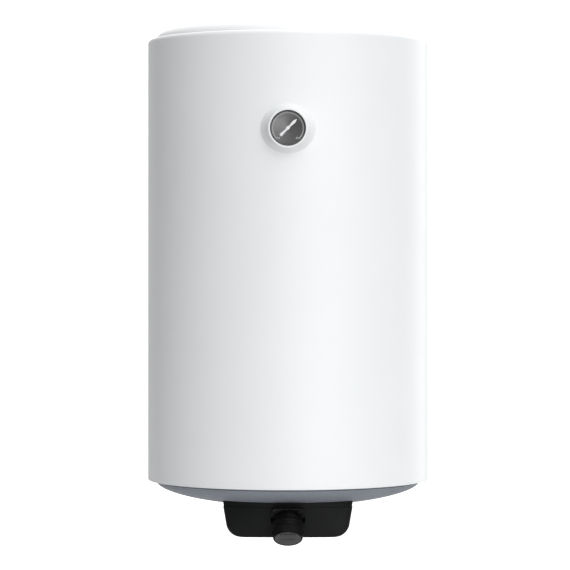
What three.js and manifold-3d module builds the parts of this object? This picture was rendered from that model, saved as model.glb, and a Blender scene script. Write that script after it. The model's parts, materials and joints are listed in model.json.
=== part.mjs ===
// Wall-hung electric storage water heater of 80 litres: a foamed, enamelled steel tank in a white painted steel shell,
// with a dial thermometer on the front and the heater flange, thermostat and control knob under a black cover below.
// Millimetres, +Z up, the room side is -Y. The origin is the middle of the hanger plate's face against the wall.
import * as THREE from "three";
import { mergeVertices } from "three/addons/utils/BufferGeometryUtils.js";
import Module from "manifold-3d";

const wasm = await Module();
wasm.setup();

// ---- driving dimensions ----
const SHELL_R = 225; // outer radius of the painted shell
const SHELL_T = 0.8;
const SHELL_TOP = 140; // level of the shell's top edge above the hanger's middle
const SHELL_H = 705;
const SHELL_BOTTOM = SHELL_TOP - SHELL_H;
const WALL_GAP = 15; // from the wall to the nearest point of the shell
const AXIS_Y = -(SHELL_R + WALL_GAP); // the tank's vertical axis
const TOP_EDGE_R = 6.8; // the shell's top edge is rolled in on this radius
const BOTTOM_EDGE_R = 2.5;
const AROUND = 32; // facets round the big turned pieces
const GAP = 0.3; // air between pieces that touch

const CAP_R = 212; // radius at which a cap comes out of the shell's rolled edge
const CAP_T = 2;
const CAP_SHOULDER = 27.6; // height of a cap's round shoulder
const CAP_SAG = 12; // crown of a cap's floor above its shoulder
const CAP_POWER = 2.36; // exponent of the shoulder's superellipse
const CAP_BRIM_R = 217.5;

const TANK_R = 200;
const TANK_T = 2;
const TANK_TOP = 75; // where the straight wall ends and the top head starts
const TANK_BOTTOM = -500;
const HEAD_H = 52; // depth of each dished head

const NECK_R = 62; // welded ring that carries the heater flange
const NECK_BORE_R = 42;
const NECK_FACE = -566;
const BOLT_CIRCLE_R = 55;
const BOLT_R = 4;
const BOLTS = 5;
const GASKET_T = 2.3;
const FLANGE_TOP = NECK_FACE - GAP - GASKET_T - GAP;
const FLANGE_T = 5;
const FLANGE_FACE = FLANGE_TOP - FLANGE_T;

const ELEMENT_R = 4;
const ELEMENT_X = [-24, -8, 8, 24]; // the four runs of the bent heating tube
const ELEMENT_Y = -12;
const ELEMENT_END = -584;
const ELEMENT_HIGH = -310;
const ELEMENT_LOW = -520;
const ANODE = { x: -18, y: 18, r: 11, stud: 3, low: -558, high: -330 };
const POCKET = { x: 18, y: 18, r: 5, bore: 4.1, low: -581, high: -380 };

const PIPE_X = 50; // half of the 100 mm between the two water connections
const PIPE_Y = 108; // behind the tank's axis
const PIPE_R = 10.48; // G1/2 thread, outside
const PIPE_BORE_R = 7.5;
const PIPE_END = -626;

const COVER_BOTTOM = -644.8;
const COVER_REF = -590; // level at which the next two are measured
const COVER_HALF = 102.6; // half width, and how far the front stands before the tank's axis
const COVER_FRONT = 166;
const COVER_SIDE_DRAFT = 0.176; // mm inwards for each mm downwards
const COVER_FRONT_DRAFT = 0.28;
const COVER_BOW = { low: 3, high: 16, at: 75 }; // how far the front bows back this far from its middle
const COVER_BACK = 80;
const COVER_T = 2.5;
const COVER_FLOOR_R = 18.5; // side walls turn into the floor on this radius
const COVER_CORNER_R = 12;
const SCREW_PLACES = [[-62, 60], [62, 60], [-55, -105], [55, -105]];

const KNOB_TILT = THREE.MathUtils.degToRad(55.1); // the knob's axis below the horizontal
const KNOB_FORWARD = 182; // the knob's face: in front of the tank's axis, and its level
const KNOB_Z = -643.8;
const PAD_BACK = 39.5; // from the knob's face back to the pad that it stands on
const NOSE_HALF = 28.5;
const NOSE_TOP = -597.8;
const POCKET_WELL_R = 28; // round well behind the knob's lower half

const GAUGE_Z = -12;
const GAUGE_FRONT_R = 30;
const GAUGE_BASE_R = 38;
const GAUGE_STANDS = 16; // how far the dial housing stands off the shell

const PLATE = { half: 135, height: 50, t: 3 }; // hanger plate against the wall
const HOOK_X = 98; // half of the 196 mm between the two keyholes
const SPACER = { x: 60, z: -480, r: 14 };

// ---- materials ----
const finish = (color, roughness, metalness = 0) => new THREE.MeshStandardMaterial({ color, roughness, metalness });
const MATERIALS = {
  white_paint: finish(0xf3f4f6, 0.35),
  white_plastic: finish(0xf6f7f8, 0.4),
  grey_plastic: finish(0x787e86, 0.55),
  black_plastic: finish(0x1f2221, 0.5),
  knob_black: finish(0x141416, 0.4),
  knob_grey: finish(0x58585a, 0.45),
  enamel: finish(0x274a63, 0.2),
  foam: finish(0xe6d9a4, 0.95),
  steel: finish(0xb8bbbe, 0.35, 1),
  zinc: finish(0xc6c8c4, 0.4, 1),
  brass: finish(0xb89a4e, 0.35, 1),
  copper: finish(0xb06a45, 0.3, 1),
  magnesium: finish(0xa9acae, 0.6, 1),
  rubber: finish(0x2a2a2b, 0.85),
  blue_plastic: finish(0x2f63b8, 0.45),
  red_plastic: finish(0xc13a32, 0.45),
  beige_plastic: finish(0xe9e4d4, 0.5),
  ceramic: finish(0xf1efe8, 0.3),
  dial_grey: finish(0x6b6b6b, 0.35, 0.6),
  needle_white: finish(0xffffff, 0.5),
  glass: finish(0xffffff, 0.05),
  brown_wire: finish(0x6b4226, 0.5),
  green_wire: finish(0x7fa82e, 0.5),
};

// ---- geometry helpers ----
function solid(geometry) {
  const plain = geometry.index ? geometry.toNonIndexed() : geometry.clone();
  plain.deleteAttribute("normal");
  plain.deleteAttribute("uv");
  const merged = mergeVertices(plain, 1e-4);
  const triVerts = new Uint32Array(merged.index.array);
  const made = () => new wasm.Manifold(
    new wasm.Mesh({ numProp: 3, vertProperties: merged.attributes.position.array, triVerts }),
  );
  const first = made();
  if (first.volume() >= 0) return first;
  for (let i = 0; i < triVerts.length; i += 3) [triVerts[i], triVerts[i + 1]] = [triVerts[i + 1], triVerts[i]];
  return made();
}

function geometryOf(body) {
  const mesh = body.getMesh();
  const geometry = new THREE.BufferGeometry();
  geometry.setAttribute("position", new THREE.BufferAttribute(mesh.vertProperties, 3));
  geometry.setIndex(new THREE.BufferAttribute(mesh.triVerts, 1));
  return geometry.toNonIndexed();
}

// A body turned round the Z axis from [radius, level] pairs, which start and end on the axis or close on themselves.
function turned(profile, closed = false, around = AROUND) {
  const points = profile.map(([r, z]) => new THREE.Vector2(r, z));
  if (closed) points.push(points[0].clone());
  return solid(new THREE.LatheGeometry(points, around).rotateX(Math.PI / 2));
}

const rod = (x, y, r, low, high, sides = 12) =>
  solid(new THREE.CylinderGeometry(r, r, high - low, sides).rotateX(Math.PI / 2).translate(x, y, (low + high) / 2));

const pipe = (x, y, r, bore, low, high, sides = 24) =>
  turned([[bore, low], [r, low], [r, high], [bore, high]], true, sides).translate([x, y, 0]);

const hexagon = (x, y, acrossFlats, low, high) => rod(x, y, acrossFlats / Math.sqrt(3), low, high, 6);

const block = (x0, x1, y0, y1, z0, z1) =>
  solid(new THREE.BoxGeometry(x1 - x0, y1 - y0, z1 - z0).translate((x0 + x1) / 2, (y0 + y1) / 2, (z0 + z1) / 2));

// A round wire or tube along a smooth curve through the points.
function strand(points, r, sides = 8, steps = 20) {
  const path = new THREE.CatmullRomCurve3(points.map((p) => new THREE.Vector3(...p)), false, "centripetal");
  return swept(path, r, sides, steps);
}

function swept(path, r, sides, steps) {
  const section = new THREE.Shape();
  for (let i = 0; i < sides; i += 1) {
    const a = (2 * Math.PI * i) / sides;
    if (i === 0) section.moveTo(r, 0);
    else section.lineTo(r * Math.cos(a), r * Math.sin(a));
  }
  section.closePath();
  return solid(new THREE.ExtrudeGeometry(section, { steps, bevelEnabled: false, extrudePath: path }));
}

// A body through a stack of rings with the same number of points, each ring star-shaped about its middle.
function stacked(rings) {
  const count = rings[0].length;
  const positions = rings.flat().flatMap((p) => [p.x, p.y, p.z]);
  const index = [];
  rings.slice(1).forEach((_, k) => {
    for (let i = 0; i < count; i += 1) {
      const j = (i + 1) % count;
      const [a, b, c, d] = [k * count + i, k * count + j, (k + 1) * count + j, (k + 1) * count + i];
      index.push(a, b, c, a, c, d);
    }
  });
  for (const [k, turn] of [[0, false], [rings.length - 1, true]]) {
    const middle = rings[k].reduce((sum, p) => sum.add(p), new THREE.Vector3()).divideScalar(count);
    const hub = positions.length / 3;
    positions.push(middle.x, middle.y, middle.z);
    for (let i = 0; i < count; i += 1) {
      const [a, b] = [k * count + i, k * count + ((i + 1) % count)];
      index.push(hub, ...(turn ? [a, b] : [b, a]));
    }
  }
  const geometry = new THREE.BufferGeometry();
  geometry.setAttribute("position", new THREE.Float32BufferAttribute(positions, 3));
  geometry.setIndex(index);
  return solid(geometry);
}

const heater = new THREE.Group();
const tankFrame = new THREE.Group(); // everything but the wall hanger is measured from the tank's axis
tankFrame.position.set(0, AXIS_Y, 0);
const knobFrame = new THREE.Group(); // +Z along the knob's axis away from the pad, +Y up its face
const padForward = KNOB_FORWARD - PAD_BACK * Math.cos(KNOB_TILT);
const padZ = KNOB_Z + PAD_BACK * Math.sin(KNOB_TILT);
knobFrame.position.set(0, -padForward, padZ);
knobFrame.rotation.x = Math.PI / 2 + KNOB_TILT;
const gaugeFrame = new THREE.Group(); // +Z out of the dial, +Y up
gaugeFrame.position.set(0, -SHELL_R, GAUGE_Z);
gaugeFrame.rotation.x = Math.PI / 2;
tankFrame.add(knobFrame, gaugeFrame);
heater.add(tankFrame);
[knobFrame, gaugeFrame].forEach((frame) => frame.updateMatrix());

function add(name, body, material, frame = tankFrame) {
  const mesh = new THREE.Mesh(geometryOf(body), MATERIALS[material]);
  mesh.name = name;
  frame.add(mesh);
}

const inTank = (body, frame) => body.transform(frame.matrix.elements);

// ---- tank, foam, shell and caps ----
const levels = (count) => Array.from({ length: count + 1 }, (_, i) => (i / count) * (Math.PI / 2));

// One side of a dished head from its middle to the straight wall, up (+1) or down (-1).
const head = (r, h, base, way, steps = 5) =>
  levels(steps).map((a) => [r * Math.sin(a), base + way * h * Math.cos(a)]);

// One face of an end cap from its middle to its rim, taken in by `inset`.
const capFace = (inset, base, way, steps = 5) =>
  levels(steps).map((a) => {
    const [out, up] = [Math.sin(a), Math.cos(a)].map((v) => Math.max(v, 0) ** (2 / CAP_POWER));
    const drop = (CAP_SHOULDER - inset) * (up < 1e-6 ? 0 : up) + CAP_SAG * (1 - out * out);
    return [(CAP_R - inset) * out, base + way * drop];
  });

function shellBody() {
  const wall = (inset) => {
    const r = SHELL_R - inset;
    const roll = (radius, level, way, steps) =>
      levels(steps).map((a) => [
        SHELL_R - radius + (radius - inset) * Math.cos(a),
        level + way * (-radius + (radius - inset) * Math.sin(a)),
      ]);
    return [
      [CAP_R + 0.6, SHELL_BOTTOM + inset],
      ...roll(BOTTOM_EDGE_R, SHELL_BOTTOM, -1, 1).reverse(),
      ...roll(TOP_EDGE_R, SHELL_TOP, 1, 3),
      [CAP_R + 0.6, SHELL_TOP - inset],
    ].filter(([x]) => x <= r + 1e-6);
  };
  return turned([...wall(0), ...wall(SHELL_T).reverse()], true);
}

function capBody(edge, way) {
  const brim = edge - way * (SHELL_T + GAP);
  return turned([
    ...capFace(0, edge, way),
    [CAP_R, brim],
    [CAP_BRIM_R, brim],
    [CAP_BRIM_R, brim - way * CAP_T],
    [CAP_R - CAP_T, brim - way * CAP_T],
    ...capFace(CAP_T, edge, way).reverse(),
  ]);
}

function tankBody() {
  const low = (r, h, from) => head(r, h, TANK_BOTTOM, -1).filter(([x]) => x > from);
  const body = turned([
    ...head(TANK_R, HEAD_H, TANK_TOP, 1),
    ...low(TANK_R, HEAD_H, NECK_R).reverse(),
    [NECK_R, TANK_BOTTOM - HEAD_H * Math.sqrt(1 - (NECK_R / TANK_R) ** 2)],
    [NECK_R, NECK_FACE],
    [NECK_BORE_R, NECK_FACE],
    [NECK_BORE_R, TANK_BOTTOM - HEAD_H * 0.94],
    ...low(TANK_R - TANK_T, HEAD_H - TANK_T, NECK_BORE_R),
    ...head(TANK_R - TANK_T, HEAD_H - TANK_T, TANK_TOP, 1).reverse(),
  ]);
  const sockets = boltPlaces().map(([x, y]) => rod(x, y, BOLT_R + GAP, NECK_FACE - 1, NECK_FACE + 12, 8));
  const ports = [-1, 1].map((side) => rod(side * PIPE_X, PIPE_Y, PIPE_R + 2 * GAP, NECK_FACE, TANK_BOTTOM, 16));
  return wasm.Manifold.difference([body, ...sockets, ...ports]);
}

const boltPlaces = () =>
  Array.from({ length: BOLTS }, (_, i) => {
    const a = (2 * Math.PI * (i + 0.5)) / BOLTS;
    return [BOLT_CIRCLE_R * Math.cos(a), BOLT_CIRCLE_R * Math.sin(a)];
  });

// The hanger's side legs run through the shell and the foam to the tank.
const legSlots = (spare) =>
  [-1, 1].map((side) => {
    const [near, far] = [side * (PLATE.half - PLATE.t - spare), side * (PLATE.half + spare)];
    const half = PLATE.height / 2 + spare;
    return block(Math.min(near, far), Math.max(near, far), 100, -AXIS_Y, -half, half);
  });

const COMPARTMENT_R = 78; // opening in the lower cap and the foam round the heater flange
const THROAT = { half: 24, forward: 158 }; // and its arm towards the knob
const throatCut = (spare, high) =>
  block(-THROAT.half - spare, THROAT.half + spare, -THROAT.forward - spare, 0, COVER_BOTTOM, high);

function foamBody() {
  const skin = SHELL_R - SHELL_T - GAP;
  const brim = SHELL_T + GAP + CAP_T + GAP;
  const low = SHELL_BOTTOM + brim;
  const high = SHELL_TOP - brim;
  const inset = CAP_T + GAP;
  const opening = COMPARTMENT_R + 1;
  const lowFace = capFace(inset, SHELL_BOTTOM, -1).filter(([x]) => x > opening);
  const body = turned([
    ...capFace(inset, SHELL_TOP, 1),
    [CAP_R - inset, high],
    [skin - TOP_EDGE_R, high],
    [skin, high - TOP_EDGE_R],
    [skin, low],
    [CAP_R - inset, low],
    ...lowFace.reverse(),
    [opening, lowFace.at(-1)[1] - 1],
    [opening, TANK_BOTTOM - HEAD_H],
    ...head(TANK_R + GAP, HEAD_H + GAP, TANK_BOTTOM, -1).filter(([x]) => x > opening),
    ...head(TANK_R + GAP, HEAD_H + GAP, TANK_TOP, 1).reverse(),
  ]);
  const ports = [-1, 1].map((side) => rod(side * PIPE_X, PIPE_Y, PIPE_R + 1, COVER_BOTTOM, TANK_BOTTOM, 16));
  const gaugeChannel = block(-14, 14, -SHELL_R, -TANK_R + 6, GAUGE_Z - 120, GAUGE_Z + 30);
  const screws = SCREW_PLACES.map(([x, y]) => rod(x, y, 3, COVER_BOTTOM, -587, 6));
  return wasm.Manifold.difference([body, ...legSlots(0.6), ...ports, ...screws, gaugeChannel, throatCut(2, -574)]);
}

function lowerCap() {
  const ports = [-1, 1].map((side) => rod(side * PIPE_X, PIPE_Y, PIPE_R + 1.5, COVER_BOTTOM, NECK_FACE, 16));
  const screws = SCREW_PLACES.map(([x, y]) => rod(x, y, 2.2, COVER_BOTTOM, NECK_FACE, 12));
  const opening = rod(0, 0, COMPARTMENT_R, COVER_BOTTOM, NECK_FACE, AROUND);
  return wasm.Manifold.difference([
    capBody(SHELL_BOTTOM, -1), opening, throatCut(0, NECK_FACE), ...ports, ...screws,
  ]);
}

const gaugeHole = rod(0, 0, 12, -60, 60, 24);
const shell = wasm.Manifold.difference([shellBody(), ...legSlots(0.5), inTank(gaugeHole, gaugeFrame)]);
const tank = tankBody();
add("outer_shell", shell, "white_paint");
add("top_cap", capBody(SHELL_TOP, 1), "white_plastic");
add("bottom_cap", lowerCap(), "grey_plastic");
add("inner_tank", tank, "enamel");
add("foam_insulation", foamBody(), "foam");

// ---- wall hanger and spacers ----
function hangerBody() {
  const { half, height, t } = PLATE;
  const plate = block(-half, half, -AXIS_Y - t, -AXIS_Y, -height / 2, height / 2);
  const legs = [-1, 1].map((side) => {
    const [near, far] = [side * (half - t), side * half];
    return block(Math.min(near, far), Math.max(near, far), 120, -AXIS_Y, -height / 2, height / 2);
  });
  const wall = turned([[0, -60], [TANK_R + GAP, -60], [TANK_R + GAP, 60], [0, 60]]);
  const keyholes = [-1, 1].flatMap((side) => {
    const through = (r, z) =>
      solid(new THREE.CylinderGeometry(r, r, 20, 16).translate(side * HOOK_X, -AXIS_Y, z));
    return [through(9, -8), through(5.5, 10),
      block(side * HOOK_X - 5.5, side * HOOK_X + 5.5, -AXIS_Y - 10, -AXIS_Y + 10, -8, 10)];
  });
  return wasm.Manifold.difference([wasm.Manifold.union([plate, ...legs]), wall, ...keyholes]);
}

add("hanger_bracket", hangerBody(), "zinc");
const shellOutside = turned([[0, -600], [SHELL_R + GAP, -600], [SHELL_R + GAP, 100], [0, 100]]);
for (const [side, name] of [[-1, "wall_spacer_left"], [1, "wall_spacer_right"]]) {
  const body = solid(
    new THREE.CylinderGeometry(SPACER.r, SPACER.r + 2, 60, 24).translate(side * SPACER.x, -AXIS_Y - 30, SPACER.z),
  );
  add(name, body.subtract(shellOutside), "rubber");
}

// Everything above the lower cap's underside, for cutting the parts that sit against it.
const capSkin = turned([...capFace(-GAP, SHELL_BOTTOM, -1), [CAP_R, -540], [0, -540]]);

// ---- water connections ----
for (const [side, word, colour] of [[1, "cold", "blue_plastic"], [-1, "hot", "red_plastic"]]) {
  const x = side * PIPE_X;
  add(`${word}_nipple`, pipe(x, PIPE_Y, PIPE_R, PIPE_BORE_R, PIPE_END, -520), "zinc");
  const collar = pipe(x, PIPE_Y, 18, PIPE_R + GAP, -606, -590, 32);
  add(`${word}_collar`, collar.subtract(capSkin), colour);
}
add("hot_standpipe", pipe(-PIPE_X, PIPE_Y, PIPE_BORE_R - GAP, 5.6, -585, 100, 16), "beige_plastic");
const diffuser = turned([[0, -502], [13, -502], [13, -519.7], [11, -519.7], [11, -504], [0, -504]], false, 24)
  .translate([PIPE_X, PIPE_Y, 0]);
const slots = [0, 1, 2].map((i) =>
  solid(new THREE.BoxGeometry(40, 3, 8).rotateZ((i * Math.PI) / 3).translate(PIPE_X, PIPE_Y, -511)));
add("cold_diffuser", wasm.Manifold.difference([diffuser, ...slots]), "beige_plastic");

// ---- heater flange and what it carries ----
function flangeBody() {
  const plate = rod(0, 0, NECK_R, FLANGE_FACE, FLANGE_TOP, AROUND);
  const hole = (x, y, r) => rod(x, y, r + 0.3, FLANGE_FACE - 1, FLANGE_TOP + 1, 8);
  return wasm.Manifold.difference([
    plate,
    ...boltPlaces().map(([x, y]) => hole(x, y, BOLT_R + GAP)),
    hole(ELEMENT_X[0], ELEMENT_Y, ELEMENT_R + 0.4),
    hole(ELEMENT_X[3], ELEMENT_Y, ELEMENT_R + 0.4),
    hole(ANODE.x, ANODE.y, ANODE.stud + 0.4),
    hole(POCKET.x, POCKET.y, POCKET.r + 0.4),
  ]);
}

add("flange_plate", flangeBody(), "steel");
add("flange_gasket", pipe(0, 0, 49.5, 44, FLANGE_TOP + GAP, NECK_FACE - GAP, 32), "rubber");
boltPlaces().forEach(([x, y], i) => {
  const shank = rod(x, y, BOLT_R - 0.2, FLANGE_FACE - 2, NECK_FACE + 11, 8);
  const hex = hexagon(x, y, 13, FLANGE_FACE - GAP - 5.5, FLANGE_FACE - GAP);
  add(`flange_bolt_${i + 1}`, shank.add(hex), "zinc");
});

// The heating tube runs up, down, up and down again in one plane, with half-round bends.
function elementBody() {
  const bend = (ELEMENT_X[1] - ELEMENT_X[0]) / 2;
  const ring = (x, z, lean) => levels(9).map((_, i) => {
    const a = (2 * Math.PI * i) / 10;
    const across = ELEMENT_R * Math.cos(a);
    return new THREE.Vector3(
      x + across * Math.cos(lean), ELEMENT_Y + ELEMENT_R * Math.sin(a), z - across * Math.sin(lean));
  });
  const around = (x, z, from, way) => levels(6).map((a) => {
    const lean = from + way * 2 * a;
    return ring(x - bend * way * Math.cos(lean), z + bend * way * Math.sin(lean), lean);
  });
  return stacked([
    ring(ELEMENT_X[0], ELEMENT_END, 0),
    ...around(ELEMENT_X[0] + bend, ELEMENT_HIGH, 0, 1),
    ...around(ELEMENT_X[1] + bend, ELEMENT_LOW, Math.PI, -1),
    ...around(ELEMENT_X[2] + bend, ELEMENT_HIGH, 0, 1),
    ring(ELEMENT_X[3], ELEMENT_END, Math.PI),
  ]);
}

add("heating_element", elementBody(), "copper");
for (const [x, word] of [[ELEMENT_X[0], "left"], [ELEMENT_X[3], "right"]]) {
  add(`element_insulator_${word}`, rod(x, ELEMENT_Y, 4.2, ELEMENT_END - 5.3, ELEMENT_END - GAP), "ceramic");
  add(`element_terminal_${word}`, rod(x, ELEMENT_Y, 1.9, ELEMENT_END - 18, ELEMENT_END - 5.6, 12), "zinc");
}

const anode = rod(ANODE.x, ANODE.y, ANODE.r, ANODE.low, ANODE.high, 24)
  .add(rod(ANODE.x, ANODE.y, ANODE.stud, FLANGE_FACE - 10, ANODE.low + 2, 12));
add("anode_rod", anode, "magnesium");
const anodeNut = hexagon(ANODE.x, ANODE.y, 10, FLANGE_FACE - GAP - 5, FLANGE_FACE - GAP);
add("anode_nut", anodeNut.subtract(rod(ANODE.x, ANODE.y, ANODE.stud + GAP, -600, -560)), "brass");

const pocket = turned([[0, POCKET.high], [POCKET.r, POCKET.high], [POCKET.r, POCKET.low],
  [POCKET.bore, POCKET.low], [POCKET.bore, POCKET.high - 1], [0, POCKET.high - 1]], false, 16);
add("sensor_pocket", pocket.translate([POCKET.x, POCKET.y, 0]), "copper");

const CUTOUT = { y: -9, r: 11, h: 14 };
const cutoutLow = FLANGE_FACE - GAP - CUTOUT.h;
const cutout = rod(0, CUTOUT.y, CUTOUT.r, cutoutLow, FLANGE_FACE - GAP, 24)
  .subtract(rod(0, CUTOUT.y, 3.4, cutoutLow - 1, cutoutLow + 9));
add("safety_cutout", cutout, "beige_plastic");
add("reset_button", rod(0, CUTOUT.y, 3, cutoutLow - 3.5, cutoutLow + 5.5), "red_plastic");

// ---- cover of the electrical compartment ----
// Plan of the cover, seen from below: a bowed front, straight sides and back, round corners.
function coverRing(z, inset) {
  const rise = z - COVER_BOTTOM - inset;
  const floor = COVER_FLOOR_R - inset;
  const tuck = rise < floor ? floor - Math.sqrt(Math.max(0, floor ** 2 - (floor - rise) ** 2)) : 0;
  const half = COVER_HALF + (z - COVER_REF) * COVER_SIDE_DRAFT - inset - tuck;
  const front = COVER_FRONT + (z - COVER_REF) * COVER_FRONT_DRAFT;
  const bow = COVER_BOW.low + ((COVER_BOW.high - COVER_BOW.low) * (z - COVER_BOTTOM)) / (COVER_REF - COVER_BOTTOM);
  const curve = (COVER_BOW.at ** 2 + bow ** 2) / (2 * bow);
  const hub = curve - front; // the front arc's centre
  const corner = COVER_CORNER_R - inset;
  const cornerX = half - corner;
  const cornerY = hub - Math.sqrt((curve - COVER_CORNER_R) ** 2 - cornerX ** 2);
  const open = Math.atan2(cornerX, hub - cornerY);
  const back = COVER_BACK - inset;
  const arc = (cx, cy, r, from, to, count) =>
    Array.from({ length: count + 1 }, (_, i) => {
      const a = from + ((to - from) * i) / count;
      return new THREE.Vector3(cx + r * Math.sin(a), cy - r * Math.cos(a), z);
    });
  return [
    ...arc(0, hub, curve - inset, -open, open, 8),
    ...arc(cornerX, cornerY, corner, open, Math.PI / 2, 3).slice(1),
    ...arc(half - corner, back - corner, corner, Math.PI / 2, Math.PI, 3),
    ...arc(corner - half, back - corner, corner, Math.PI, 1.5 * Math.PI, 3),
    ...arc(-cornerX, cornerY, corner, 1.5 * Math.PI, 2 * Math.PI - open, 3).slice(0, -1),
  ];
}

const COVER_TOP = -570; // the blank stands this high before the cap's shape is cut from it
function coverBlank(inset) {
  const low = COVER_BOTTOM + inset;
  const steps = [0, 0.1, 0.3, 0.6, 1].map((k) => low + k * (COVER_FLOOR_R - inset));
  return stacked([...steps, COVER_TOP].map((z) => coverRing(z, inset)));
}

// The nose under the front edge, whose slanted pad carries the knob.
function noseBlank(inset) {
  const [out, up] = [Math.cos(KNOB_TILT), Math.sin(KNOB_TILT)];
  const top = NOSE_TOP - inset;
  const tip = padForward - inset * out + ((top - padZ - inset * up) / out) * up;
  const foot = 46;
  const outline = new THREE.Shape();
  outline.moveTo(tip, top);
  outline.lineTo(tip - foot * up, top - foot * out);
  outline.lineTo(110, top - foot * out);
  outline.lineTo(110, top);
  outline.closePath();
  const half = NOSE_HALF - inset;
  const body = new THREE.ExtrudeGeometry(outline, { depth: 2 * half, bevelEnabled: false });
  const axes = new THREE.Matrix4().makeBasis(
    new THREE.Vector3(0, -1, 0), new THREE.Vector3(0, 0, 1), new THREE.Vector3(-1, 0, 0));
  return solid(body.applyMatrix4(axes).translate(half, 0, 0));
}

function coverBody() {
  const well = (r, deep) => inTank(rod(0, 0, r, -deep, 90, 32), knobFrame);
  const outside = wasm.Manifold.union([coverBlank(0), noseBlank(0)]).subtract(well(POCKET_WELL_R, 0));
  const hollow = wasm.Manifold.union([coverBlank(COVER_T), noseBlank(COVER_T)])
    .subtract(well(POCKET_WELL_R + COVER_T, COVER_T));
  const posts = SCREW_PLACES.map(([x, y]) => rod(x, y, 6.5, COVER_BOTTOM + 1, COVER_TOP, 12));
  const wells = SCREW_PLACES.flatMap(([x, y]) =>
    [rod(x, y, 4.7, COVER_BOTTOM - 1, -618, 12), rod(x, y, 2.3, -620, COVER_TOP + 1, 8)]);
  const glandHole = solid(new THREE.CylinderGeometry(7.9, 7.9, 20, 24).translate(0, COVER_BACK, GLAND_Z));
  const body = wasm.Manifold.union([outside.subtract(hollow), ...posts]);
  const spindleHole = inTank(rod(0, 0, 7, -10, 10, 24), knobFrame);
  const screwHoles = [-14, 14].map((x) => inTank(rod(x, 0, 2.1, -10, 10, 12), knobFrame));
  return wasm.Manifold.difference([body, ...wells, capSkin, glandHole, spindleHole, ...screwHoles]);
}

const GLAND_Z = -622;
add("control_cover", coverBody(), "black_plastic");
SCREW_PLACES.forEach(([x, y], i) => {
  const head4 = rod(x, y, 4.2, -621, -618.3);
  add(`cover_screw_${i + 1}`, head4.add(rod(x, y, 2, -619, -590, 8)), "zinc");
});

const alongY = (r, from, to, sides = 24) =>
  solid(new THREE.CylinderGeometry(r, r, to - from, sides).translate(0, (from + to) / 2, GLAND_Z));
const gland = wasm.Manifold.union([
  alongY(7.5, COVER_BACK - 9, COVER_BACK + 2),
  alongY(11, COVER_BACK + GAP, COVER_BACK + 6, 6),
  alongY(9, COVER_BACK + 5, COVER_BACK + 18),
]).subtract(alongY(3.7, 0, 200, 16));
add("cable_gland", gland, "rubber");
add("gland_locknut", alongY(11, COVER_BACK - 6.8, COVER_BACK - COVER_T - GAP, 6).subtract(alongY(7.8, 0, 200)),
  "black_plastic");

// ---- knob and thermostat, measured from the slanted pad ----
const SKIRT_AT = PAD_BACK - 21.9;
const knobCollar = turned([
  [8, GAP], [20.4, GAP], [20.4, 5.2], [21.2, 6.4], [20.6, 7.4], [22.1, 9.2], [21.6, 10.2], [23.4, 12.2],
  [23.4, 13.2], [8, 13.2],
], true, 24);
const screwSeats = [-14, 14].flatMap((x) => [rod(x, 0, 2.1, -1, 20, 12), rod(x, 0, 4, 10.6, 20, 12)]);
add("knob_collar", wasm.Manifold.difference([knobCollar, ...screwSeats]), "knob_black", knobFrame);
[-14, 14].forEach((x, i) => {
  const screw = rod(x, 0, 1.8, -COVER_T - 8, 12, 8).add(rod(x, 0, 3.6, 10.9, 12.7));
  add(`thermostat_screw_${i + 1}`, screw, "zinc", knobFrame);
});

function knobBody() {
  const face = PAD_BACK;
  const outside = turned([
    [0, face - 1.6], [20.8, face - 1.6], [20.8, face], [21.8, face], [22.8, face - 1],
    [24.1, SKIRT_AT + 8.6], [23.5, SKIRT_AT + 8], [23.6, SKIRT_AT + 7.2], [24.5, SKIRT_AT + 6.6],
    [25, SKIRT_AT + 4.2], [24.4, SKIRT_AT + 3.6], [24.5, SKIRT_AT + 2.8], [25.5, SKIRT_AT + 2.2],
    [26.1, SKIRT_AT], [25.6, SKIRT_AT - 3.4], [23, SKIRT_AT - 3.6], [21.5, face - 4.4],
    [6.5, face - 4.4], [6.5, 17.8], [0, 17.8],
  ], false, 28);
  return outside.subtract(rod(0, 0, 3 + GAP, 10, face - 6, 16));
}
add("knob_body", knobBody(), "knob_black", knobFrame);

// The grey inlay: a round plate whose broad middle bar stands proud and is ridged across.
const inlayLow = PAD_BACK - 1.6 + GAP;
const inlay = rod(0, 0, 20.4, inlayLow, inlayLow + 1, 32);
const bar = stacked([
  [[-12.2, -19], [12.2, -19], [12.2, 19], [-12.2, 19]].map(([x, y]) => new THREE.Vector3(x, y, inlayLow + 0.4)),
  [[-12.2, -15], [12.2, -15], [12.2, 15], [-12.2, 15]].map(([x, y]) => new THREE.Vector3(x, y, inlayLow + 2)),
]).intersect(rod(0, 0, 19.4, inlayLow, inlayLow + 4, 32));
add("knob_face", inlay.add(bar), "knob_grey", knobFrame);
const spindle = rod(0, 0, 3, -COVER_T - 1, PAD_BACK - 7, 16)
  .subtract(block(-4, 4, 1.9, 6, PAD_BACK - 19, PAD_BACK));
add("thermostat_spindle", spindle, "zinc", knobFrame);

const THERMOSTAT = { half: 18, low: -18, high: 5.4, front: -COVER_T - GAP, back: -COVER_T - 22 };
const thermostat = block(-THERMOSTAT.half, THERMOSTAT.half, THERMOSTAT.low, THERMOSTAT.high,
  THERMOSTAT.back, THERMOSTAT.front);
const thermostatCuts = [rod(0, 0, 3.3, THERMOSTAT.front - 8, 5, 16),
  ...[-14, 14].map((x) => rod(x, 0, 2.1, THERMOSTAT.front - 12, 5, 12))];
add("thermostat_body", wasm.Manifold.difference([thermostat, ...thermostatCuts]), "beige_plastic", knobFrame);

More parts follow.
